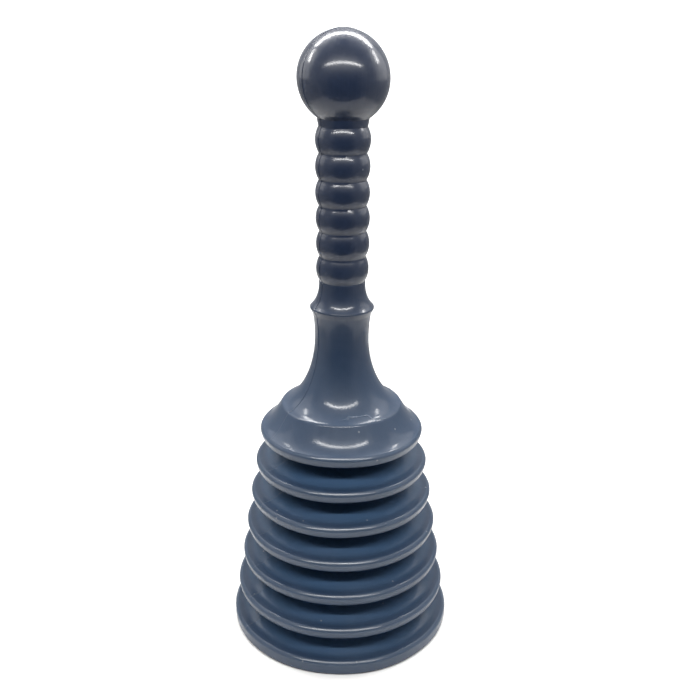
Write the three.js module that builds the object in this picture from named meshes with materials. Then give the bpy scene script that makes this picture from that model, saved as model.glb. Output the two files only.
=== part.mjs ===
// Toilet plunger with a bellows body, blow moulded from polyethylene.
// Millimetres, +Z up, origin on the floor at the centre of the mouth.
//
// One hollow wall runs from the ball knob down to the mouth. It is parted here at its living
// hinges: stiff rims and roots, and the thin webs between them that flex when the bellows works.
// Fold 1 is the highest. Each fold has, from the top down, an underside web, a root, a top web
// and a rim; the rim of the last fold is the mouth rim, and the first fold hangs from the handle.

import * as THREE from 'three';

// ---- Bellows ------------------------------------------------------------------------------

const foldCount = 6;
const foldPitch = 18.68; // height from one rim to the next
const shoulderRimRadius = 44.3; // the handle's own rim, above fold 1
const mouthRimRadius = 61.7;
const foldDepth = 20; // from the mean radius of two rims in to the root between them
const bellowsWall = 1.3;
const partingGap = 0.3; // clear width between two neighbours along the wall

const rimRound = 2.0; // radius of the rim's rounded edge
const rimLift = 1.0; // centre of that radius above the middle of the rim
const rimRoundTop = THREE.MathUtils.degToRad(70); // the rounding runs from this slope of its normal
const rimRoundEnd = THREE.MathUtils.degToRad(-20); // down to this one
const rimFall = 2.8; // bottom edge below the middle of the rim
const rimTuck = 1.1; // bottom edge inside the widest line
const lipWidth = 4.5; // nearly flat margin of each disc, inside the rounding
const lipRise = 0.6; // how far that margin climbs inwards
const rimUnderReach = 6.0; // how much of the underside stays with its rim

const rootDrop = 6.5; // root below the middle of the rim above
const rootLand = 1.8; // height of the root's upright face
const rootReach = 2.6; // how much of each web stays with the root

// ---- Mouth --------------------------------------------------------------------------------

const bandClearance = 1.2; // bottom edge of the mouth rim above the floor
const mouthFall = 4.0; // bottom edge below the middle of the mouth rim
const mouthTuck = 0.3; // bottom edge inside the mouth rim's widest line
const footInset = 1.4; // the foot ring stands in from the widest line
const footWidth = 4.5; // flat ring that rests on the floor
const mouthInset = 20.7; // from the widest line of the mouth rim in to the mouth
const mouthLipHeight = 1.8; // the floor of the bellows climbs inwards to the mouth
const mouthLipTurn = 0.8; // length of the upturned edge of the mouth

// ---- Bell and shoulder, heights above the middle of the shoulder rim ------------------------

const handleWall = 1.9;
const creaseInset = 10.7; // edge of the upper tier, in from the shoulder rim's widest line
const creaseHeight = 16.4;
const creaseStep = 0.6; // drop from the upper tier to the lower one
const shoulderPullInset = 6.9; // how the lower tier bows inwards
const shoulderPullHeight = 8.0;
const bellNeckRadius = 14.2; // narrowest line of the bell
const bellHeight = 53.3;
const bellPullHigh = 19.0; // how far the flare stays upright below the neck
const bellPullOut = 9.4; // how far in from the crease the flare flattens
const bellPullLow = 5.2;

// ---- Collar and waist, heights above the bell's narrowest line ------------------------------

const collarRadius = 16.8;
const collarHeight = 16.5;
const collarCone = 3.8; // the cone above the collar's edge
const collarConeRadius = 14.4;
const collarUnderRadius = 15.5;
const collarUnderDrop = 4.2;
const waistRadius = 12.1;
const waistHeight = 28.0;
const waistFoot = 25.4; // where the cone starts to spread from the waist

// ---- Grip and knob --------------------------------------------------------------------------

const bulgeCount = 6;
const bulgePitch = 13.0;
const gripStart = 30.9; // lowest groove above the bell's narrowest line
const lowBulgeRadius = 13.6;
const highBulgeRadius = 14.0;
const grooveDepth = 1.6;
const neckRingRadius = 13.4;
const neckRingHeight = 1.7; // above the grip's top groove
const knobNeckRadius = 12.4; // where the ball meets the neck ring
const knobNeckHeight = 3.3;
const knobRadius = 22.75;

// ---- Facets ---------------------------------------------------------------------------------

const stepsAround = 36;
const stepsPerBulge = 4;
const stepsOverKnob = 9;
const stepsDownBell = 7;
const stepsDownShoulder = 3;
const stepsAroundRim = 3;

// ---- Heights and radii that follow ------------------------------------------------------------

const rimRadius = (k) => THREE.MathUtils.lerp(shoulderRimRadius, mouthRimRadius, k / foldCount);
const rimHeight = (k) => bandClearance + mouthFall + (foldCount - k) * foldPitch;
const rootRadius = (k) => (rimRadius(k - 1) + rimRadius(k)) / 2 - foldDepth;
const rootHeight = (k) => rimHeight(k - 1) - rootDrop;

const shoulderZ = rimHeight(0);
const creaseZ = shoulderZ + creaseHeight;
const bellNeckZ = shoulderZ + bellHeight;
const gripZ = bellNeckZ + gripStart;
const gripTopZ = gripZ + bulgeCount * bulgePitch;
const knobZ = gripTopZ + knobNeckHeight + Math.sqrt(knobRadius ** 2 - knobNeckRadius ** 2);

const boreRadius = Math.min(lowBulgeRadius - grooveDepth, waistRadius) - handleWall;

const point = (r, z) => new THREE.Vector2(r, z);
const crease = point(shoulderRimRadius - creaseInset, creaseZ);

// ---- Outlines -----------------------------------------------------------------------------------
// Every outline is a list of (radius, height) points on the outside of the wall, from the top down.

// The rounded edge of rim k, from its top to where the band below it starts.
function rimArc(k) {
  const points = [];
  for (let i = 0; i <= stepsAroundRim; i += 1) {
    const angle = THREE.MathUtils.lerp(rimRoundTop, rimRoundEnd, i / stepsAroundRim);
    const r = rimRadius(k) - rimRound * (1 - Math.cos(angle));
    points.push(point(r, rimHeight(k) + rimLift + rimRound * Math.sin(angle)));
  }
  return points;
}

// Where the margin of disc k meets its top web.
function marginPoint(k) {
  const edge = rimArc(k)[0];
  return point(edge.x - lipWidth, edge.y + lipRise);
}

function bottomEdge(k) {
  const fall = k < foldCount ? rimFall : mouthFall;
  const tuck = k < foldCount ? rimTuck : mouthTuck;
  return point(rimRadius(k) - tuck, rimHeight(k) - fall);
}

// The upright face of root k, its upper and lower ends.
function rootCorners(k) {
  const r = rootRadius(k);
  const z = rootHeight(k);
  return { high: point(r, z + rootLand / 2), low: point(r, z - rootLand / 2) };
}

// The point a given distance from one point towards another.
function towards(from, to, distance) {
  return from.clone().add(to.clone().sub(from).setLength(distance));
}

function undersidePath(k) {
  const start = bottomEdge(k - 1);
  const end = rootCorners(k).high;
  return [
    towards(start, end, rimUnderReach + partingGap / 2),
    towards(end, start, rootReach + partingGap / 2),
  ];
}

function rootPath(k) {
  const { high, low } = rootCorners(k);
  return [
    towards(high, bottomEdge(k - 1), rootReach - partingGap / 2),
    high,
    low,
    towards(low, marginPoint(k), rootReach - partingGap / 2),
  ];
}

function topPath(k) {
  const start = rootCorners(k).low;
  const end = marginPoint(k);
  return [towards(start, end, rootReach + partingGap / 2), towards(end, start, partingGap / 2)];
}

// The band of rim k with the start of the underside that hangs from it.
function rimUnderPath(k) {
  const edge = bottomEdge(k);
  return [edge, towards(edge, rootCorners(k + 1).high, rimUnderReach - partingGap / 2)];
}

function rimTopPath(k) {
  const arc = rimArc(k);
  return [towards(marginPoint(k), arc[0], partingGap / 2), ...arc];
}

function mouthPath() {
  const k = foldCount;
  const footRadius = rimRadius(k) - footInset;
  return [
    ...rimTopPath(k),
    bottomEdge(k),
    point(footRadius, 0),
    point(footRadius - footWidth, 0),
    point(rimRadius(k) - mouthInset, mouthLipHeight),
    point(rimRadius(k) - mouthInset, mouthLipHeight + mouthLipTurn),
  ];
}

// The bell flares from its narrowest line to the edge of the upper tier.
function bellPath() {
  const flare = new THREE.CubicBezierCurve(
    point(bellNeckRadius, bellNeckZ),
    point(bellNeckRadius, bellNeckZ - bellPullHigh),
    point(crease.x - bellPullOut, crease.y + bellPullLow),
    crease
  );
  return flare.getPoints(stepsDownBell);
}

// The lower tier, the shoulder rim and the start of the underside that hangs from it.
function shoulderPath() {
  const lowerTier = new THREE.QuadraticBezierCurve(
    point(crease.x + creaseStep, crease.y - creaseStep),
    point(shoulderRimRadius - shoulderPullInset, shoulderZ + shoulderPullHeight),
    rimArc(0)[0]
  );
  return [...lowerTier.getPoints(stepsDownShoulder), ...rimArc(0).slice(1), ...rimUnderPath(0)];
}

// The cone, the edge and the underside of the collar.
function collarPath() {
  const edgeZ = bellNeckZ + collarHeight;
  return [
    point(waistRadius, bellNeckZ + waistHeight),
    point(waistRadius, bellNeckZ + waistFoot),
    point(collarConeRadius, edgeZ + collarCone),
    point(collarRadius, edgeZ),
    point(collarUnderRadius, edgeZ - collarUnderDrop),
  ];
}

// Rounded bulges between narrow grooves, slightly fuller towards the knob.
function gripPath() {
  const points = [];
  const steps = bulgeCount * stepsPerBulge;
  for (let i = 0; i <= steps; i += 1) {
    const crest = THREE.MathUtils.lerp(highBulgeRadius, lowBulgeRadius, i / steps);
    const swell = Math.sqrt(Math.sin((Math.PI * (i % stepsPerBulge)) / stepsPerBulge));
    points.push(point(crest - grooveDepth * (1 - swell), gripTopZ - (i / steps) * (gripTopZ - gripZ)));
  }
  return points;
}

// A ball from its pole down to the neck ring; a smaller one of the same centre lines it.
function knobPath(radius, neckRadius) {
  const last = Math.PI - Math.asin(neckRadius / radius);
  const points = [];
  for (let i = 0; i <= stepsOverKnob; i += 1) {
    const angle = (last * i) / stepsOverKnob;
    points.push(point(radius * Math.sin(angle), knobZ + radius * Math.cos(angle)));
  }
  points[0].x = 0;
  return points;
}

function handleOutside() {
  return [
    ...knobPath(knobRadius, knobNeckRadius),
    point(neckRingRadius, gripTopZ + neckRingHeight),
    ...gripPath(),
    ...collarPath(),
    ...bellPath(),
    ...shoulderPath(),
  ];
}

// The hollow: a ball, a plain bore, the inside of the bell, and the thinner wall of the shoulder.
function handleInside() {
  return [
    ...knobPath(knobRadius - handleWall, boreRadius),
    point(boreRadius, bellNeckZ + waistFoot),
    ...inset(bellPath(), handleWall),
    ...inset(shoulderPath(), bellowsWall),
  ];
}

// ---- Solids -----------------------------------------------------------------------------------

// The same path moved inwards by the thickness of the wall, with mitred corners.
function inset(path, wall) {
  const normals = path.slice(1).map((p, i) => {
    const along = p.clone().sub(path[i]).normalize();
    return point(along.y, -along.x);
  });
  return path.map((p, i) => {
    const before = normals[Math.max(i - 1, 0)];
    const after = normals[Math.min(i, normals.length - 1)];
    const mitre = before.clone().add(after).multiplyScalar(wall / (1 + before.dot(after)));
    return p.clone().add(mitre);
  });
}

// A band of wall turned about Z, closed around its own thickness.
function turnedBand(outside, wall) {
  const profile = [...outside, ...inset(outside, wall).reverse()];
  profile.push(profile[0].clone());
  return turned(profile);
}

function turned(profile) {
  return new THREE.LatheGeometry(profile.reverse(), stepsAround).rotateX(Math.PI / 2);
}

function plastic(colour, roughness) {
  return new THREE.MeshStandardMaterial({ color: colour, roughness, metalness: 0 });
}

function piece(name, geometry, material) {
  const mesh = new THREE.Mesh(geometry, material);
  mesh.name = name;
  return mesh;
}

// ---- Assembly -----------------------------------------------------------------------------------

const plunger = new THREE.Group();
plunger.name = 'toilet_plunger';

const handleProfile = [...handleOutside(), ...handleInside().reverse()];
plunger.add(piece('handle', turned(handleProfile), plastic(0x2b3548, 0.22)));

for (let k = 1; k <= foldCount; k += 1) {
  const folds = [
    ['underside', undersidePath(k)],
    ['root', rootPath(k)],
    ['top', topPath(k)],
  ];
  if (k < foldCount) folds.push(['rim', [...rimTopPath(k), ...rimUnderPath(k)]]);
  for (const [role, path] of folds) {
    const geometry = turnedBand(path, bellowsWall);
    plunger.add(piece(`fold_${k}_${role}`, geometry, plastic(0x2b3548, 0.24)));
  }
}

plunger.add(piece('mouth_rim', turnedBand(mouthPath(), bellowsWall), plastic(0x28324a, 0.26)));

export default plunger;
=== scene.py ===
"""A bellows toilet plunger: ball knob, ribbed grip, bell, and a tapering stack of six folds.

The whole object is one blow-moulded wall. Each piece here is a profile turned about the Z axis and
given its thickness.
"""
import math

import bmesh
import bpy
from bpy.props import FloatProperty, FloatVectorProperty, IntProperty, PointerProperty
from mathutils import Matrix, Vector


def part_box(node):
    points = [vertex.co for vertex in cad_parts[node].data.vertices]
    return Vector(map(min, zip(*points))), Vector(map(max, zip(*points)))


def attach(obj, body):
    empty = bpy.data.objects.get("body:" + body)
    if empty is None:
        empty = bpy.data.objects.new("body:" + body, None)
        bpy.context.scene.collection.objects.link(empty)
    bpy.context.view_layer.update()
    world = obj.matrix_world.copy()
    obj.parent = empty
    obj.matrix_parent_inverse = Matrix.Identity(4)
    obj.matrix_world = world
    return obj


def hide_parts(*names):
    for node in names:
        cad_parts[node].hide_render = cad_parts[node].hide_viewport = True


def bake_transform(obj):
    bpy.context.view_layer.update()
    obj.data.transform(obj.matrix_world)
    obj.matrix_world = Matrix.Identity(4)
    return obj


bl_info = {
    "name": "Bellows Plunger",
    "version": (1, 0, 0),
    "blender": (4, 5, 0),
    "location": "View3D > Sidebar > Plunger",
    "description": "Models a blow-moulded bellows plunger around its frame",
    "category": "Add Mesh",
}

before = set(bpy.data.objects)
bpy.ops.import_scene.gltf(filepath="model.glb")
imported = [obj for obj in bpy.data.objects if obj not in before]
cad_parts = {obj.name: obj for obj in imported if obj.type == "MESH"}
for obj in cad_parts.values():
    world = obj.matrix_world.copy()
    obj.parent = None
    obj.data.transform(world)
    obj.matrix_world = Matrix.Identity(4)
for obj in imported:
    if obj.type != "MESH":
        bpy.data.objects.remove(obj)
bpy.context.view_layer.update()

MM = 0.001
FOLDS = 6
TAU = 2 * math.pi


# ---- Sizes and colours ------------------------------------------------------------------------


def length(name, description, default):
    """A length property in metres, given in millimetres."""
    return FloatProperty(
        name=name, description=description, default=default * MM, min=0.0, unit="LENGTH", precision=5
    )


def slope(name, description, default):
    """An angle property, given in degrees."""
    return FloatProperty(name=name, description=description, default=math.radians(default), subtype="ANGLE")


def amount(name, description, default, **limits):
    """A plain number that isn't below zero."""
    return FloatProperty(name=name, description=description, default=default, min=0.0, **limits)


def count(name, description, default):
    """A number of steps round a piece."""
    return IntProperty(name=name, description=description, default=default, min=48)


def colour(name, description, default):
    """A linear colour."""
    return FloatVectorProperty(
        name=name, description=description, default=default, subtype="COLOR", size=3, min=0.0, max=1.0
    )


class PlungerShape(bpy.types.PropertyGroup):
    """Sizes of the moulding that the frame's boxes don't give."""

    wall: length("Bellows wall", "Thickness of the folds", 1.3)
    handle_wall: length("Handle wall", "Thickness of the knob, grip and bell", 1.9)
    rim_round: length("Rim rounding", "Size of each rim's rounded edge", 2.0)
    rim_lift: length("Rim lift", "Widest line above the middle of the rim", 1.0)
    rim_fall: length("Band fall", "Bottom edge of a rim below its middle", 2.8)
    mouth_fall: length("Mouth band fall", "Bottom edge of the mouth rim below its middle", 4.0)
    rim_tuck: length("Band tuck", "Bottom edge of a rim inside its widest line", 1.1)
    mouth_tuck: length("Mouth band tuck", "Bottom edge of the mouth rim inside its widest line", 0.3)
    lip_width: length("Margin width", "Nearly flat margin inside each rim's rounding", 4.4)
    lip_rise: length("Margin rise", "How far the margin climbs inwards", 0.6)
    fold_depth: length("Fold depth", "Mean rim radius less the root radius", 20.0)
    root_drop: length("Root drop", "Root below the middle of the rim above it", 6.5)
    root_round: length("Root rounding", "Radius of the valley at each root", 1.1)
    crease_radius: length("Crease radius", "Radius of the crease between the bell and the shoulder", 32.3)
    crease_rise: length("Crease rise", "Crease above the middle of the shoulder rim", 15.8)
    foot_inset: length("Foot inset", "Foot ring inside the mouth rim's widest line", 1.4)
    foot_width: length("Foot width", "Flat ring that rests on the floor", 4.5)
    mouth_inset: length("Mouth inset", "Mouth inside the mouth rim's widest line", 20.7)
    mouth_lift: length("Mouth lift", "Edge of the mouth above the floor", 1.8)
    mouth_turn: length("Mouth turn", "Length of the turned-up edge of the mouth", 0.8)
    knob_radius: length("Knob radius", "Radius of the ball", 22.75)
    grip_drop: length("Grip drop", "Top of the grip below the top of the knob", 45.2)
    grip_length: length("Grip length", "Length of the six bulges", 78.0)
    grip_radius: length("Grip radius", "Radius of the topmost bulge", 14.0)
    grip_taper: length("Grip taper", "How much slimmer the lowest bulge is", 0.4)
    groove: length("Groove depth", "Depth of the grooves between the bulges", 1.7)
    neck_radius: length("Bell neck", "Narrowest radius of the bell", 14.2)
    neck_rise: length("Bell neck rise", "Bell neck above the middle of the shoulder rim", 53.3)
    collar_radius: length("Collar radius", "Radius of the collar's edge", 16.85)
    collar_rise: length("Collar rise", "Collar's edge above the bell neck", 16.9)
    parting: slope("Parting angle", "Where the mould parted, from the front towards the left", 59.0)
    ridge_width: length("Ridge width", "Width of the flash along the parting line", 0.8)
    ridge_height: length("Ridge height", "Flash that stands out of the wall", 0.2)
    warp: length("Warp", "How far the cooled wall wanders from true", 0.5)
    warp_size: length("Warp size", "Length of one wander of the wall", 38.0)
    steps: count("Steps round a fold", "Facets round each fold", 192)
    handle_steps: count("Steps round the handle", "Facets round the handle", 144)


class PlungerFinish(bpy.types.PropertyGroup):
    """Colour and gloss of the polyethylene."""

    handle_colour: colour("Handle", "Body colour of the handle", (0.010, 0.017, 0.038))
    # Painted light: one plastic, tinted about twice as pale on the bell, shoulder and rims as on the handle,
    # and about four times on the webs, standing in for the stronger light on them
    lit_bell_colour: colour("Bell", "Body colour of the bell, shoulder and rims", (0.018, 0.036, 0.072))
    lit_web_colour: colour("Webs", "Body colour of the thin webs, which let light through", (0.037, 0.076, 0.145))
    # Real bloom from rubbing, flash, scratches and stress, and also painted sheen on the rims' bands
    bloom_and_sheen: colour("Bloom", "Paler tint of thin or rubbed plastic", (0.060, 0.085, 0.130))
    dust: colour("Dust", "Specks of dust and swarf", (0.22, 0.24, 0.27))
    roughness: amount("Roughness", "Haze beside the clear reflection", 0.38, max=1.0)
    polish: amount("Polish", "Roughness of the clear reflection", 0.13, max=1.0)
    gloss: amount("Gloss", "Share of the clear reflection", 0.5, max=1.0)


class PlungerStage(bpy.types.PropertyGroup):
    """Camera and studio."""

    tent_side: length("Tent side", "Side walls of the light tent to each side of the axis", 385.0)
    tent_back: length("Tent back", "Back wall of the light tent behind the axis", 410.0)
    tent_top: length("Tent height", "Ceiling of the light tent above the floor", 700.0)
    tent_depth: length("Tent depth", "Side walls and ceiling from front to back", 960.0)
    eye_back: length("Camera distance", "Level distance from the plunger's axis to the camera", 449.7)
    eye_height: length("Camera height", "Height of the camera above the floor", 330.9)
    eye_aside: length("Camera offset", "Camera to the right of the plunger's axis", 4.35)
    tilt: slope("Camera tilt", "How far the camera looks down", 20.53)
    roll: slope("Camera roll", "Lean of the camera", 0.56)
    focal: amount("Focal length", "In millimetres, on a 36 mm sensor", 46.28)
    room: amount("Room light", "Brightness of the white room round the tent", 2.2)
    glow: amount("Cloth glow", "Brightness of the cloth beside the side strips", 1.5)
    strip: amount("Strip light", "Brightness of the lamp strips", 40.0)


# ---- Facts from the frame ----------------------------------------------------------------------


def rim_node(k):
    """The frame's node that carries rim k; rim 0 belongs to the handle."""
    if k == 0:
        return "handle"
    return "mouth_rim" if k == FOLDS else f"fold_{k}_rim"


def rim_radius(k):
    """Widest radius of rim k."""
    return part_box(rim_node(k))[1][0]


def rim_height(k):
    """Height of the middle of rim k."""
    shape = bpy.context.scene.plunger_shape
    top = shape.rim_lift + shape.rim_round * math.sin(math.radians(70)) + shape.lip_rise
    if k == 0:
        return 2 * rim_height(1) - rim_height(2)
    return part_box(rim_node(k))[1][2] - top


def root_radius(k):
    """Radius of the valley between rims k - 1 and k."""
    return (rim_radius(k - 1) + rim_radius(k)) / 2 - bpy.context.scene.plunger_shape.fold_depth


def root_height(k):
    """Height of that valley."""
    return rim_height(k - 1) - bpy.context.scene.plunger_shape.root_drop


def crease_height():
    """Height of the crease between the bell and the shoulder."""
    return rim_height(0) + bpy.context.scene.plunger_shape.crease_rise


def knob_top():
    """Height of the top of the knob."""
    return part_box("handle")[1][2]


# ---- Outlines ----------------------------------------------------------------------------------
# An outline is a list of (radius, height) points on the outside of the wall, in metres.


def ahead(start, distance, degrees):
    """The point at a distance from start, that many degrees below the outward level."""
    angle = math.radians(degrees)
    return (start[0] + distance * math.cos(angle), start[1] - distance * math.sin(angle))


def arc(centre, radius, start, end, steps):
    """Points on a circle between two slopes of its normal, in degrees above the level."""
    points = []
    for i in range(steps + 1):
        angle = math.radians(start + (end - start) * i / steps)
        points.append((centre[0] + radius * math.cos(angle), centre[1] + radius * math.sin(angle)))
    return points


def bezier(p0, p1, p2, p3, steps):
    """Points on a cubic Bezier curve."""
    points = []
    for i in range(steps + 1):
        t = i / steps
        weights = ((1 - t) ** 3, 3 * t * (1 - t) ** 2, 3 * t * t * (1 - t), t ** 3)
        points.append(tuple(sum(w * p[n] for w, p in zip(weights, (p0, p1, p2, p3))) for n in (0, 1)))
    return points


def joined(*stretches):
    """One outline from several, without doubled points."""
    outline = []
    for stretch in stretches:
        for p in stretch:
            if not outline or math.dist(p, outline[-1]) > 0.02 * MM:
                outline.append(p)
    return outline


def softened(corner, before, after, radius, steps=4):
    """A corner rounded by a curve that leaves it by about radius on each side."""
    a = toward(corner, before, radius)
    b = toward(corner, after, radius)
    return bezier(a, toward(corner, a, radius / 3), toward(corner, b, radius / 3), b, steps)


def toward(start, end, distance):
    """The point at a distance from start towards end."""
    share = distance / math.dist(start, end)
    return tuple(s + (e - s) * share for s, e in zip(start, end))


def bottom_edge(k):
    """The lower edge of rim k's band."""
    shape = bpy.context.scene.plunger_shape
    if k == FOLDS:
        return (rim_radius(k) - shape.mouth_tuck, rim_height(k) - shape.mouth_fall)
    return (rim_radius(k) - shape.rim_tuck, rim_height(k) - shape.rim_fall)


def under_start(k):
    """Where the underside that hangs from rim k starts, just inside the band."""
    return toward(bottom_edge(k), (root_radius(k + 1), root_height(k + 1)), 1.2 * MM)


def rim_band(k, top_slope):
    """The edge of rim k, a narrow flat between two roundings, and the band below it."""
    shape = bpy.context.scene.plunger_shape
    widest = (rim_radius(k), rim_height(k) + shape.rim_lift)
    tilt = 41.5 + 1.6 * k  # the flat faces a little higher on each rim down
    low = swept(widest, shape.rim_round * 0.85, 0, tilt - 2, 6)
    flat = swept(low[-1], shape.rim_round * 7.0, tilt - 2, tilt + 2, 3)
    high = swept(flat[-1], shape.rim_round * 0.5, tilt + 2, top_slope, 6)
    under = swept(widest, shape.rim_round, 0, -14, 3)
    edge = bottom_edge(k)
    belly = ((under[-1][0] + edge[0]) / 2 + 0.14 * MM, (under[-1][1] + edge[1]) / 2)
    return joined(reversed(high), reversed(flat), reversed(low), under, [belly])


def swept(start, radius, first, last, steps):
    """An arc that leaves a point, between two slopes of its normal."""
    normal = math.radians(first)
    centre = (start[0] - radius * math.cos(normal), start[1] - radius * math.sin(normal))
    return arc(centre, radius, first, last, steps)


def disc_outline(k):
    """The top of fold k from its root out to the rim, and round to the bottom edge."""
    shape = bpy.context.scene.plunger_shape
    root = (root_radius(k), root_height(k))
    valley = arc((root[0] + shape.root_round, root[1]), shape.root_round, 180, 232, 6)
    band = rim_band(k, 82)
    margin = (band[0][0] - shape.lip_width, band[0][1] + shape.lip_rise)
    web = bezier(valley[-1], ahead(valley[-1], 4.5 * MM, 42), ahead(margin, -5.0 * MM, 23), margin, 20)
    lip = bezier(margin, ahead(margin, 1.3 * MM, 19), ahead(band[0], -2.0 * MM, 6), band[0], 8)
    edge = bottom_edge(k)
    inner = mouth_floor(k) if k == FOLDS else [under_start(k)]
    corner = softened(edge, band[-1], inner[0], 0.5 * MM)
    return joined(valley, web, lip, band, corner, inner)


def mouth_floor(k):
    """Under the mouth rim: the foot ring, the floor of the bellows and the turned-up mouth."""
    shape = bpy.context.scene.plunger_shape
    foot_out = (rim_radius(k) - shape.foot_inset, 0.0)
    foot_in = (foot_out[0] - shape.foot_width, 0.0)
    mouth = (rim_radius(k) - shape.mouth_inset, shape.mouth_lift)
    lip = (mouth[0], mouth[1] + shape.mouth_turn)
    return joined(
        softened(foot_out, bottom_edge(k), foot_in, 0.5 * MM),
        softened(foot_in, foot_out, mouth, 1.0 * MM),
        softened(mouth, foot_in, lip, 0.6 * MM),
        [lip],
    )


def underside_outline(k):
    """The underside of the rim above fold k, from that rim in to the root."""
    shape = bpy.context.scene.plunger_shape
    start = under_start(k - 1)
    root = (root_radius(k), root_height(k))
    valley = arc((root[0] + shape.root_round, root[1]), shape.root_round, 108, 180, 7)
    web = bezier(start, toward(start, valley[0], 6 * MM), ahead(valley[0], 5 * MM, -6), valley[0], 14)
    return joined(web, valley)


def knob_outline():
    """The ball, from its pole down to the edge where it meets the neck."""
    radius = bpy.context.scene.plunger_shape.knob_radius
    centre = knob_top() - radius
    ball = arc((0.0, centre), radius, 90, -54.2, 40)
    return [(0.0, knob_top())] + ball[1:]


def grip_outline(top, bottom):
    """Bulges between tight grooves; each bulge is an arc, a little fuller towards the knob."""
    shape = bpy.context.scene.plunger_shape
    bulges = 6
    pitch = (top - bottom) / bulges
    points = []
    for i in range(bulges):
        crest = shape.grip_radius - shape.grip_taper * i / (bulges - 1)
        groove = crest - shape.groove
        half = pitch / 2 - 0.22 * MM
        radius = (half ** 2 + (crest - groove) ** 2) / (2 * (crest - groove))
        reach = math.degrees(math.asin(half / radius))
        middle = top - (i + 0.5) * pitch
        points += [(groove + 0.04 * MM, middle + pitch / 2)]
        points += arc((crest - radius, middle), radius, reach, -reach, 12)
    return points


def handle_outline():
    """The outside of the knob, grip, collar, bell, shoulder and shoulder rim."""
    shape = bpy.context.scene.plunger_shape
    ball = knob_outline()
    ball_edge = ball[-1]
    grip_top = knob_top() - shape.grip_drop
    grip_bottom = grip_top - shape.grip_length
    # the narrow ring between the ball and the topmost bulge
    neck = [
        (ball_edge[0] - 0.35 * MM, ball_edge[1] - 0.35 * MM),
        (12.95 * MM, ball_edge[1] - 0.9 * MM),
        (12.45 * MM, grip_top + 0.5 * MM),
    ]
    grip = grip_outline(grip_top, grip_bottom)
    waist_top = (12.1 * MM, grip_bottom - 0.25 * MM)
    bell_neck = (shape.neck_radius, rim_height(0) + shape.neck_rise)
    edge = (shape.collar_radius, bell_neck[1] + shape.collar_rise)
    # the waist widens into the collar, whose rounded edge overhangs the bell
    waist = bezier(
        waist_top, ahead(waist_top, 6.0 * MM, 92), ahead(edge, -4.6 * MM, 47), ahead(edge, -1.1 * MM, 47), 16
    )
    bead = arc((edge[0] - 1.15 * MM, edge[1] - 0.4 * MM), 1.15 * MM, 44, -22, 8)
    under = (15.45 * MM, edge[1] - 3.3 * MM)
    skirt = bezier(under, ahead(under, 3.5 * MM, 104), ahead(bell_neck, -5.5 * MM, 90), bell_neck, 12)
    crease = (shape.crease_radius, crease_height())
    # the bell leaves its neck upright and flattens towards the crease
    upright = (bell_neck[0], bell_neck[1] - 16.7 * MM)
    level = (crease[0] - 10.2 * MM, crease[1] + 3.3 * MM)
    flare = bezier(bell_neck, upright, level, crease, 34)
    # the shoulder drops steeply from the crease and flattens towards its rim
    tier_top = (crease[0] + 0.45 * MM, crease[1] - 0.7 * MM)
    band = rim_band(0, 65)
    tier = bezier(tier_top, ahead(tier_top, 4.5 * MM, 58), ahead(band[0], -4.5 * MM, 25), band[0], 18)
    corner = softened(bottom_edge(0), band[-1], under_start(0), 0.5 * MM)
    lip = softened(crease, flare[-2], tier_top, 0.8 * MM)
    return joined(
        ball, neck, grip, waist, bead, skirt, flare[:-1], lip, tier, band, corner, [under_start(0)]
    )


# ---- Modelling ---------------------------------------------------------------------------------


def fresh_vertex(name, place):
    """A new mesh object in edit mode, holding one selected vertex."""
    bpy.ops.object.select_all(action="DESELECT")
    bpy.ops.mesh.primitive_plane_add(size=MM, location=place)
    piece = bpy.context.object
    piece.name = piece.data.name = name
    bpy.ops.object.transform_apply(location=True, rotation=True, scale=True)
    bpy.ops.object.mode_set(mode="EDIT")
    bpy.ops.mesh.merge(type="CENTER")
    return piece


def draw_chain(name, points):
    """A chain of edges through 3D points, drawn by extruding one vertex along them."""
    piece = fresh_vertex(name, points[0])
    for before, after in zip(points, points[1:]):
        step = Vector(after) - Vector(before)
        bpy.ops.mesh.extrude_region_move(TRANSFORM_OT_translate={"value": step})
    return piece


def apply_modifier(piece, kind, **settings):
    """Adds a modifier with its settings and applies it."""
    bpy.context.view_layer.objects.active = piece
    modifier = piece.modifiers.new(kind.title(), kind)
    for key, value in settings.items():
        setattr(modifier, key, value)
    bpy.ops.object.modifier_apply(modifier=modifier.name)


def warp_texture():
    """Soft clouds that the cooled wall follows; the same everywhere, so that neighbours agree."""
    texture = bpy.data.textures.get("cooling_warp")
    if texture is None:
        texture = bpy.data.textures.new("cooling_warp", "CLOUDS")
        texture.cloud_type = "COLOR"
        texture.noise_scale = bpy.context.scene.plunger_shape.warp_size
        texture.noise_depth = 0
    return texture


def turn(name, outline, wall, steps):
    """Turns an outline about Z, warps it a little and gives it a wall on the inside."""
    shape = bpy.context.scene.plunger_shape
    angle = -math.pi / 2 - shape.parting
    across = Vector((math.cos(angle), math.sin(angle), 0.0))
    piece = draw_chain(name, [across * r + Vector((0, 0, z)) for r, z in outline])
    bpy.ops.mesh.select_all(action="SELECT")
    bpy.ops.mesh.spin(steps=steps, angle=TAU, center=(0, 0, 0), axis=(0, 0, 1), use_auto_merge=True)
    bpy.ops.mesh.select_all(action="SELECT")
    bpy.ops.mesh.remove_doubles(threshold=0.004 * MM)
    bpy.ops.mesh.normals_make_consistent(inside=False)
    bpy.ops.object.mode_set(mode="OBJECT")
    face_outwards(piece, outline)
    apply_modifier(
        piece, "DISPLACE", texture=warp_texture(), texture_coords="LOCAL", direction="RGB_TO_XYZ",
        mid_level=0.5, strength=shape.warp,
    )
    apply_modifier(piece, "SOLIDIFY", thickness=wall, offset=-1.0, use_even_offset=True, use_rim=True)
    bpy.ops.object.shade_smooth_by_angle(angle=math.radians(38))
    return piece


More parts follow.
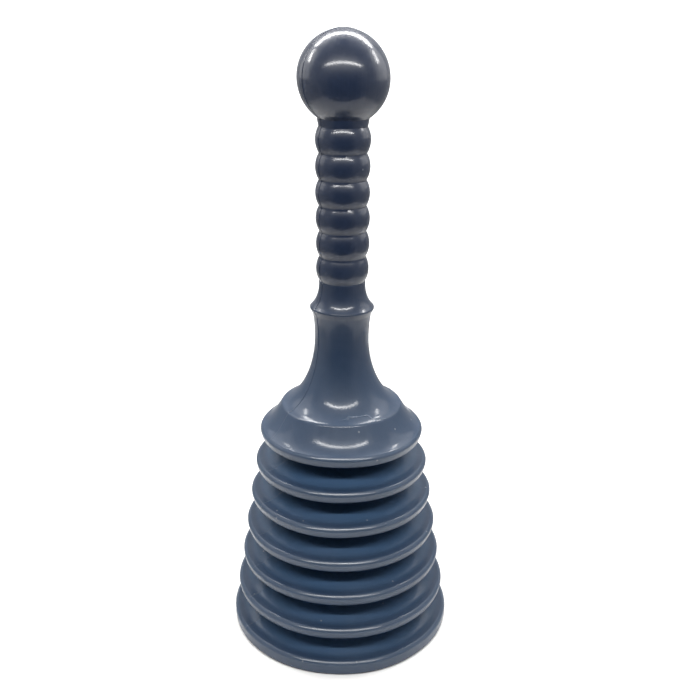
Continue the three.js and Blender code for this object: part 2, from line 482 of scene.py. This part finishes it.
def face_outwards(piece, outline):
    """Flips an open shell whose recalculated normals chose the inside."""
    (r0, z0), (r1, z1) = outline[len(outline) // 2], outline[len(outline) // 2 + 1]
    outward = Vector((z0 - z1, r1 - r0))
    middle = Vector(((r0 + r1) / 2, (z0 + z1) / 2))
    nearest = min(
        piece.data.polygons,
        key=lambda f: (Vector((f.center.xy.length, f.center.z)) - middle).length,
    )
    radial = nearest.normal.xy.dot(nearest.center.xy.normalized())
    if Vector((radial, nearest.normal.z)).dot(outward) < 0:
        bpy.ops.object.mode_set(mode="EDIT")
        bpy.ops.mesh.select_all(action="SELECT")
        bpy.ops.mesh.flip_normals()
        bpy.ops.object.mode_set(mode="OBJECT")


def finish_piece(piece, material):
    """Gives a piece its material."""
    piece.data.materials.clear()
    piece.data.materials.append(material)


# ---- Shader maths ------------------------------------------------------------------------------


class Value:
    """A number that varies over the surface; arithmetic on it adds Math nodes."""

    def __init__(self, shader, socket):
        self.shader = shader
        self.socket = socket

    def math(self, operation, *others, clamp=False):
        """This value and others through a Math node."""
        settings = {"operation": operation, "use_clamp": clamp}
        values = {i: v for i, v in enumerate((self, *others))}
        return self.shader.value("ShaderNodeMath", settings, values)

    def __add__(self, other):
        return self.math("ADD", other)

    def __radd__(self, other):
        return self.math("ADD", other)

    def __sub__(self, other):
        return self.math("SUBTRACT", other)

    def __rsub__(self, other):
        return self.shader.value("ShaderNodeMath", {"operation": "SUBTRACT"}, {0: other, 1: self})

    def __mul__(self, other):
        return self.math("MULTIPLY", other)

    def __rmul__(self, other):
        return self.math("MULTIPLY", other)

    def __truediv__(self, other):
        return self.math("DIVIDE", other)

    def __abs__(self):
        return self.math("ABSOLUTE")

    def ramp(self, low, high):
        """0 below low, 1 above high and a smooth step between them; low may be the larger."""
        settings = {"interpolation_type": "SMOOTHSTEP", "clamp": True}
        if low < high:
            values = {"Value": self, "From Min": low, "From Max": high}
            return self.shader.value("ShaderNodeMapRange", settings, values)
        return 1 - self.ramp(high, low)


class Shader:
    """A material's node tree, with one method that adds any node."""

    def __init__(self, name):
        self.material = bpy.data.materials.new(name)
        self.material.use_nodes = True
        self.tree = self.material.node_tree
        self.principled = self.tree.nodes["Principled BSDF"]

    def node(self, kind, settings=None, values=None):
        """Adds a node, sets its settings, then gives its sockets numbers or links."""
        node = self.tree.nodes.new(kind)
        for key, setting in (settings or {}).items():
            setattr(node, key, setting)
        for key, value in (values or {}).items():
            self.feed(node.inputs[key], value)
        return node

    def value(self, kind, settings=None, values=None, output=0):
        """Adds a node and wraps one of its outputs."""
        return Value(self, self.node(kind, settings, values).outputs[output])

    def feed(self, socket, value):
        """Links a wrapped value to a socket, or sets the socket's number."""
        if isinstance(value, Value):
            self.tree.links.new(value.socket, socket)
        else:
            socket.default_value = value

    def place(self):
        """Object coordinates as a vector."""
        return self.value("ShaderNodeTexCoord", output="Object")

    def noise(self, vector, scale, detail=2.0):
        """Soft noise from 0 to 1."""
        values = {"Vector": vector, "Scale": scale, "Detail": detail}
        return self.value("ShaderNodeTexNoise", None, values, "Fac")

    def mixed(self, share, first, second):
        """Two colours mixed by a share."""
        settings = {"data_type": "RGBA", "clamp_factor": True}
        return self.value("ShaderNodeMix", settings, {0: share, 6: first, 7: second}, 2)


def specks(shader, place):
    """Dust that sits on the wall, and small moulded pimples."""
    cells = shader.node("ShaderNodeTexVoronoi", {"feature": "F1"}, {"Vector": place, "Scale": 210.0})
    near = Value(shader, cells.outputs["Distance"])
    pick = shader.node("ShaderNodeSeparateColor", None, {0: Value(shader, cells.outputs["Color"])})
    speck = near.ramp(0.16, 0.05) * Value(shader, pick.outputs[0]).ramp(0.93, 0.95)
    pimple = near.ramp(0.34, 0.0) * Value(shader, pick.outputs[1]).ramp(0.82, 0.86)
    return speck, pimple


def witness_line(x, y, z):
    """The parting line on the shoulder, where the flash was trimmed flush."""
    parting = bpy.context.scene.plunger_shape.parting
    crease = crease_height()
    off_plane = abs(x * math.cos(parting) - y * math.sin(parting)) / MM
    return off_plane.ramp(0.55, 0.12) * z.ramp(crease, crease - 1 * MM)


def stress_mark(shader, place, x, y, z):
    """A wavering mark on the bell, from the front round to the right where it meets the crease."""
    crease = crease_height()
    wiggle = (shader.noise(place, 170.0, 2.0) - 0.5) * (5.0 * MM)
    mark = (abs(y - x * 0.27 + 28.8 * MM + wiggle) / MM).ramp(0.5, 0.1) * y.ramp(0.0, -8 * MM)
    mark = mark * x.ramp(-1 * MM, 3 * MM) * x.ramp(27 * MM, 24 * MM)
    return mark * z.ramp(crease - 0.6 * MM, crease) * z.ramp(crease + 7 * MM, crease + 5 * MM)


def painted_light_places(radius, z):
    """How far down the handle the wall is, whether it is a web, and whether it is a rim's edge; these masks
    place the painted light on the one plastic.
    """
    top = rim_height(0)
    lower = z.ramp(top + 110 * MM, top + 10 * MM)
    taper = (rim_radius(FOLDS) - rim_radius(0)) / (top - rim_height(FOLDS))
    inside_rim = (top - z) * taper + rim_radius(0) - radius
    web = inside_rim.ramp(2.5 * MM, 8 * MM) * z.ramp(top + 1 * MM, top - 3 * MM)
    lip = inside_rim.ramp(1.9 * MM, 0.7 * MM) * z.ramp(top + 3 * MM, top + 2 * MM)
    return lower, web, lip


def polyethylene(name, haze, scuffing):
    """Moulded polyethylene: clear and hazy gloss, die lines, orange peel, the parting line and scuffs, with
    painted light that makes it paler lower down, paler still on the webs and sheened on the rims' bands.
    """
    finish = bpy.context.scene.plunger_finish
    shader = Shader(name)
    place = shader.place()
    axes = shader.node("ShaderNodeSeparateXYZ", None, {"Vector": place})
    x, y, z = (Value(shader, axes.outputs[i]) for i in range(3))
    radius = (x * x + y * y).math("SQRT") + 0.05 * MM

    around = shader.value("ShaderNodeCombineXYZ", None, {0: x / radius * 24, 1: y / radius * 24, 2: z * 14})
    die_lines = shader.noise(around, 1.0, 3.0)
    peel = shader.noise(place, 900.0, 1.0)
    wander = shader.noise(place, 26.0, 2.0)
    smudge = shader.noise(place, 60.0, 4.0)
    speck, pimple = specks(shader, place)
    witness = witness_line(x, y, z)
    stress = stress_mark(shader, place, x, y, z)
    lower, web, lip = painted_light_places(radius, z)
    grain = {"Vector": place, "Rotation": (0.3, 0.5, 0.9), "Scale": (40.0, 1500.0, 300.0)}
    scratch_field = shader.noise(shader.value("ShaderNodeMapping", None, grain), 1.0, 1.0)
    scratch = scratch_field.ramp(0.74, 0.79) * smudge.ramp(0.52, 0.66) * scuffing

    # Painted light: the tint grows paler from the handle down to the bell and paler again on the webs
    tint = shader.mixed(lower, (*finish.handle_colour, 1), (*finish.lit_bell_colour, 1))
    tint = shader.mixed(web, tint, (*finish.lit_web_colour, 1))
    rubbed = wander.ramp(0.35, 0.75) * lower * 0.2 + witness * 0.15 + scratch * 0.4
    # Painted sheen: lip lightens each rim's band; the rest of this bloom is rubbing, flash, scratches and the
    # stress mark
    tint = shader.mixed(rubbed + stress * 0.5 + lip * 0.35, tint, (*finish.bloom_and_sheen, 1))
    tint = shader.mixed(speck * 0.5, tint, (*finish.dust, 1))
    height = die_lines * 0.05 + peel * 0.0035 + pimple * 0.03 + speck * 0.03
    height = height + witness * 0.10 + scratch * 0.003 + stress * 0.16
    relief = shader.value("ShaderNodeBump", None, {"Height": height, "Distance": MM, "Strength": 1.0})

    clear = shader.principled
    hazy = shader.node("ShaderNodeBsdfPrincipled")
    for surface in (clear, hazy):
        surface.inputs["IOR"].default_value = 1.5
        shader.feed(surface.inputs["Base Color"], tint)
        shader.feed(surface.inputs["Normal"], relief)
    frosted = lower * (1 - web)
    blur = smudge * 0.12 + (finish.roughness - 0.06 + haze) + scratch * 0.2 + frosted * 0.13
    share = smudge.ramp(0.3, 0.75) * 0.2 + (1 - finish.gloss - 0.1) + frosted * 0.12
    shader.feed(clear.inputs["Roughness"], smudge * 0.06 + (finish.polish - 0.03 + haze))
    shader.feed(hazy.inputs["Roughness"], blur)
    both = shader.node("ShaderNodeMixShader", None, {0: share})
    shader.tree.links.new(clear.outputs[0], both.inputs[1])
    shader.tree.links.new(hazy.outputs[0], both.inputs[2])
    shader.tree.links.new(both.outputs[0], shader.tree.nodes["Material Output"].inputs["Surface"])
    return shader.material


def finish_for(part):
    """The handle's, the bellows' or the mouth's polyethylene, made the first time it is asked for."""
    name = f"{part}_polyethylene"
    if name not in bpy.data.materials:
        polyethylene(name, 0.03 if part == "mouth" else 0.0, 1.0 if part == "mouth" else 0.6)
    return bpy.data.materials[name]


# ---- Operators ---------------------------------------------------------------------------------


class PLUNGER_OT_handle(bpy.types.Operator):
    """Turn the hollow handle: knob, grip, collar, bell and shoulder rim"""

    bl_idname = "plunger.handle"
    bl_label = "Handle"

    def execute(self, context):
        shape = context.scene.plunger_shape
        piece = turn("handle_shell", handle_outline(), shape.handle_wall, shape.handle_steps)
        finish_piece(piece, finish_for("handle"))
        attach(piece, "handle")
        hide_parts("handle")
        return {"FINISHED"}


class PLUNGER_OT_parting_ridge(bpy.types.Operator):
    """Lay the flash along the parting line, over the knob and down both sides to the crease"""

    bl_idname = "plunger.parting_ridge"
    bl_label = "Parting ridge"

    def execute(self, context):
        shape = context.scene.plunger_shape
        crease = crease_height() + 0.1 * MM
        side = [p for p in handle_outline() if p[1] > crease]
        angle = -math.pi / 2 - shape.parting
        across = Vector((math.cos(angle), math.sin(angle), 0.0))
        square = across.cross(Vector((0, 0, 1)))
        arch = [across * r + Vector((0, 0, z)) for r, z in reversed(side)]
        arch += [across * -r + Vector((0, 0, z)) for r, z in side[1:]]
        piece = draw_chain("parting_ridge", [p - square * shape.ridge_width / 2 for p in arch])
        bpy.ops.mesh.select_all(action="SELECT")
        bpy.ops.mesh.extrude_region_move(TRANSFORM_OT_translate={"value": square * shape.ridge_width})
        bpy.ops.mesh.select_all(action="SELECT")
        bpy.ops.mesh.normals_make_consistent(inside=False)
        bpy.ops.object.mode_set(mode="OBJECT")
        face = min(piece.data.polygons, key=lambda f: -f.center.z)
        if face.normal.z < 0:
            bpy.ops.object.mode_set(mode="EDIT")
            bpy.ops.mesh.select_all(action="SELECT")
            bpy.ops.mesh.flip_normals()
            bpy.ops.object.mode_set(mode="OBJECT")
        apply_modifier(
            piece, "DISPLACE", texture=warp_texture(), texture_coords="LOCAL", direction="RGB_TO_XYZ",
            mid_level=0.5, strength=shape.warp,
        )
        apply_modifier(
            piece, "SOLIDIFY", thickness=shape.ridge_height + 0.8 * MM, use_even_offset=True, use_rim=True,
            offset=-1.0 + 2.0 * shape.ridge_height / (shape.ridge_height + 0.8 * MM),
        )
        apply_modifier(
            piece, "BEVEL", width=0.22 * MM, segments=2, limit_method="ANGLE", angle_limit=math.radians(60)
        )
        bpy.ops.object.shade_smooth_by_angle(angle=math.radians(50))
        finish_piece(piece, finish_for("handle"))
        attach(piece, "handle")
        return {"FINISHED"}


class PLUNGER_OT_fold_discs(bpy.types.Operator):
    """Turn the top of every fold, with its root and its rim, down to the mouth"""

    bl_idname = "plunger.fold_discs"
    bl_label = "Fold discs"

    def execute(self, context):
        shape = context.scene.plunger_shape
        for k in range(1, FOLDS + 1):
            piece = turn(f"fold_{k}_disc", disc_outline(k), shape.wall, shape.steps)
            if k == FOLDS:
                finish_piece(piece, finish_for("mouth"))
            else:
                finish_piece(piece, finish_for("bellows"))
            margin = rim_height(k) + shape.rim_lift + shape.rim_round + shape.lip_rise
            valley = root_height(k) - 0.9 * MM
            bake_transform(piece)
            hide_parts(rim_node(k), f"fold_{k}_top", f"fold_{k}_root")
        return {"FINISHED"}


class PLUNGER_OT_fold_undersides(bpy.types.Operator):
    """Turn the web that hangs under each rim and ends in the root below it"""

    bl_idname = "plunger.fold_undersides"
    bl_label = "Fold undersides"

    def execute(self, context):
        shape = context.scene.plunger_shape
        for k in range(1, FOLDS + 1):
            piece = turn(f"fold_{k}_underside_web", underside_outline(k), shape.wall, shape.steps)
            finish_piece(piece, finish_for("bellows"))
            low = root_height(k) + shape.root_round + shape.wall / 2
            high = rim_height(k - 1) - shape.rim_fall - 0.9 * MM
            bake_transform(piece)
            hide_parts(f"fold_{k}_underside")
        return {"FINISHED"}


class PLUNGER_OT_stage(bpy.types.Operator):
    """Set the pale floor, the light tent with its lamp strips, and the camera"""

    bl_idname = "plunger.stage"
    bl_label = "Stage"

    def execute(self, context):
        stage = context.scene.plunger_stage
        floor = add_panel("floor", (0, 0, 0), (16.0, 16.0), (0, 0, 0), 0.93)
        floor.visible_camera = True
        raise_tent(stage)
        light_room(stage.room)
        hang_strips(stage)
        set_camera(stage)
        return {"FINISHED"}


def hang_strips(stage):
    """Lamp strips behind, in front and at both sides, and the lit cloth beside the side strips."""
    aim = (0, 0, 0.2)
    add_strip("back_strip", (-0.337, 0.215, 0.635), (0.337, 0.215, 0.635), 0.060, aim, stage.strip)
    add_strip("front_strip", (-0.380, -0.350, 0.565), (0.380, -0.350, 0.565), 0.038, aim, stage.strip)
    for side in (-1, 1):
        name = "left_strip" if side < 0 else "right_strip"
        low, high = (0.350 * side, 0.075, 0.440), (0.350 * side, 0.155, 0.612)
        add_strip(name, low, high, 0.028, aim, stage.strip)
        start, end = (0.380 * side, -0.02, 0.47), (0.380 * side, 0.36, 0.47)
        add_strip(f"{name}_glow", start, end, 0.38, (0, 0.17, 0.47), stage.glow)


def add_panel(name, place, size, turned, whiteness):
    """A plain matt panel of the stage, hidden from the camera."""
    bpy.ops.object.select_all(action="DESELECT")
    bpy.ops.mesh.primitive_plane_add(size=1.0, location=place, rotation=turned)
    panel = bpy.context.object
    panel.name = name
    panel.scale = (*size, 1)
    matt = Shader(f"{name}_matt")
    matt.principled.inputs["Base Color"].default_value = (whiteness, whiteness, whiteness, 1)
    matt.principled.inputs["Roughness"].default_value = 1.0
    matt.principled.inputs["Specular IOR Level"].default_value = 0.0
    panel.data.materials.append(matt.material)
    panel.visible_camera = False
    return panel


def raise_tent(stage):
    """Grey cloth walls and ceiling, with a dark room in front of the opening."""
    quarter = math.pi / 2
    half_up = stage.tent_top / 2
    middle = -0.06
    for side in (-1, 1):
        name = "left_wall" if side < 0 else "right_wall"
        size = (stage.tent_depth, stage.tent_top)
        add_panel(name, (stage.tent_side * side, middle, half_up), size, (quarter, 0, quarter), 0.28)
    across = stage.tent_side * 2
    add_panel("back_wall", (0, stage.tent_back, half_up), (across, stage.tent_top), (quarter, 0, 0), 0.35)
    add_panel("ceiling", (0, middle, stage.tent_top), (across, stage.tent_depth), (0, 0, 0), 0.45)
    add_panel("top_port", (0, 0.01, stage.tent_top - 0.005), (0.11, 0.11), (0, 0, 0), 0.0)
    add_panel("dark_room", (0, -0.66, 0.38), (2.4, 0.76), (quarter, 0, 0), 0.0)
    bench = add_panel("dark_bench", (0, -0.44, 0.002), (1.6, 0.40), (0, 0, 0), 0.0)
    bench.visible_shadow = False


def light_room(brightness):
    """An even white room outside the tent."""
    world = bpy.data.worlds.new("white_room")
    world.use_nodes = True
    background = world.node_tree.nodes["Background"]
    background.inputs["Color"].default_value = (0.97, 0.985, 1.0, 1)
    background.inputs["Strength"].default_value = brightness
    bpy.context.scene.world = world


def add_strip(name, start, end, width, aim, brightness):
    """A lamp strip, or a patch of lit cloth, that runs between two points and faces a third."""
    start, end = Vector(start), Vector(end)
    lamp = bpy.data.lights.new(name, "AREA")
    lamp.shape = "RECTANGLE"
    lamp.size = (end - start).length
    lamp.size_y = width
    lamp.energy = brightness * math.pi * lamp.size * lamp.size_y
    lamp.color = (1.0, 0.99, 0.97)
    light = bpy.data.objects.new(name, lamp)
    middle = (start + end) / 2
    along = (end - start).normalized()
    ahead_of = Vector(aim) - middle
    back = -(ahead_of - along * ahead_of.dot(along)).normalized()
    facing = Matrix((along, back.cross(along), back)).transposed().to_4x4()
    light.matrix_world = Matrix.Translation(middle) @ facing
    light.visible_camera = False
    bpy.context.scene.collection.objects.link(light)


def set_camera(stage):
    """The camera stands a little above the knob and looks down at the front."""
    camera = bpy.data.cameras.new("camera")
    camera.lens = stage.focal
    camera.sensor_width = 36.0
    camera.clip_start = 0.01
    eye = bpy.data.objects.new("camera", camera)
    upright = Matrix.Rotation(math.pi / 2 - stage.tilt, 4, "X")
    lean = Matrix.Rotation(stage.roll, 4, "Z")
    place = Matrix.Translation((stage.eye_aside, -stage.eye_back, stage.eye_height))
    eye.matrix_world = place @ upright @ lean
    bpy.context.scene.collection.objects.link(eye)
    bpy.context.scene.camera = eye
    bpy.context.scene.view_settings.view_transform = "Standard"


# ---- Panel and registration --------------------------------------------------------------------

OPERATORS = (
    PLUNGER_OT_handle,
    PLUNGER_OT_parting_ridge,
    PLUNGER_OT_fold_discs,
    PLUNGER_OT_fold_undersides,
    PLUNGER_OT_stage,
)


class PLUNGER_PT_build(bpy.types.Panel):
    """Lists the pieces and their sizes"""

    bl_idname = "PLUNGER_PT_build"
    bl_label = "Bellows Plunger"
    bl_space_type = "VIEW_3D"
    bl_region_type = "UI"
    bl_category = "Plunger"

    def draw(self, context):
        scene = context.scene
        for operator in OPERATORS:
            self.layout.operator(operator.bl_idname)
        for group in (scene.plunger_shape, scene.plunger_finish, scene.plunger_stage):
            box = self.layout.box()
            for name in group.bl_rna.properties.keys():
                if name not in {"rna_type", "name"}:
                    box.prop(group, name)


CLASSES = (PlungerShape, PlungerFinish, PlungerStage, *OPERATORS, PLUNGER_PT_build)


def register():
    """Registers the classes and hangs their settings on the scene."""
    for cls in CLASSES:
        bpy.utils.register_class(cls)
    bpy.types.Scene.plunger_shape = PointerProperty(type=PlungerShape)
    bpy.types.Scene.plunger_finish = PointerProperty(type=PlungerFinish)
    bpy.types.Scene.plunger_stage = PointerProperty(type=PlungerStage)


def unregister():
    """Takes both away again."""
    del bpy.types.Scene.plunger_stage
    del bpy.types.Scene.plunger_finish
    del bpy.types.Scene.plunger_shape
    for cls in reversed(CLASSES):
        bpy.utils.unregister_class(cls)


def main():
    """Builds every piece and the stage."""
    register()
    bpy.ops.plunger.handle()
    bpy.ops.plunger.parting_ridge()
    bpy.ops.plunger.fold_discs()
    bpy.ops.plunger.fold_undersides()
    bpy.ops.plunger.stage()


if __name__ == "__main__":
    main()
